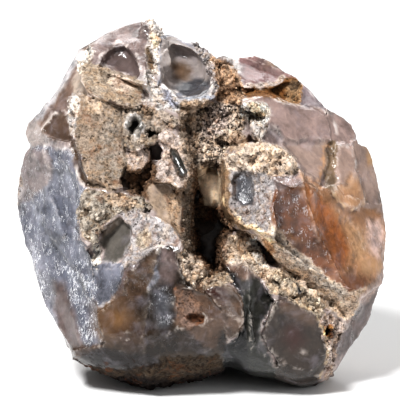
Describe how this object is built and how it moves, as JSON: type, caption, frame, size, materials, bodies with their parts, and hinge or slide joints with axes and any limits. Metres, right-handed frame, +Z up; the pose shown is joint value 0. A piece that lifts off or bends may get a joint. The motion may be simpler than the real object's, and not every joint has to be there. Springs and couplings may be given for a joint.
{
  "type": "rough agate",
  "caption": "Rough agate: a fist-sized broken nodule of grey to orange chalcedony with sandy crust, open pockets and a deep hollow, resting on a small flat",
  "frame": {"origin": "centre of the stone's bounding box in plan, on the surface it rests on", "axes": "+Z up, +X to the right and -Y towards the viewer of its broken face; +X is the stone's width, its longest extent, and Y its depth, the shortest"},
  "size_m": [0.094, 0.0728, 0.0879],
  "materials": {
    "agate": "glassy fracture faces between rough sandy crust"
  },
  "bodies": {
    "root": {"rough_agate": "agate"}
  },
  "joints": []
}
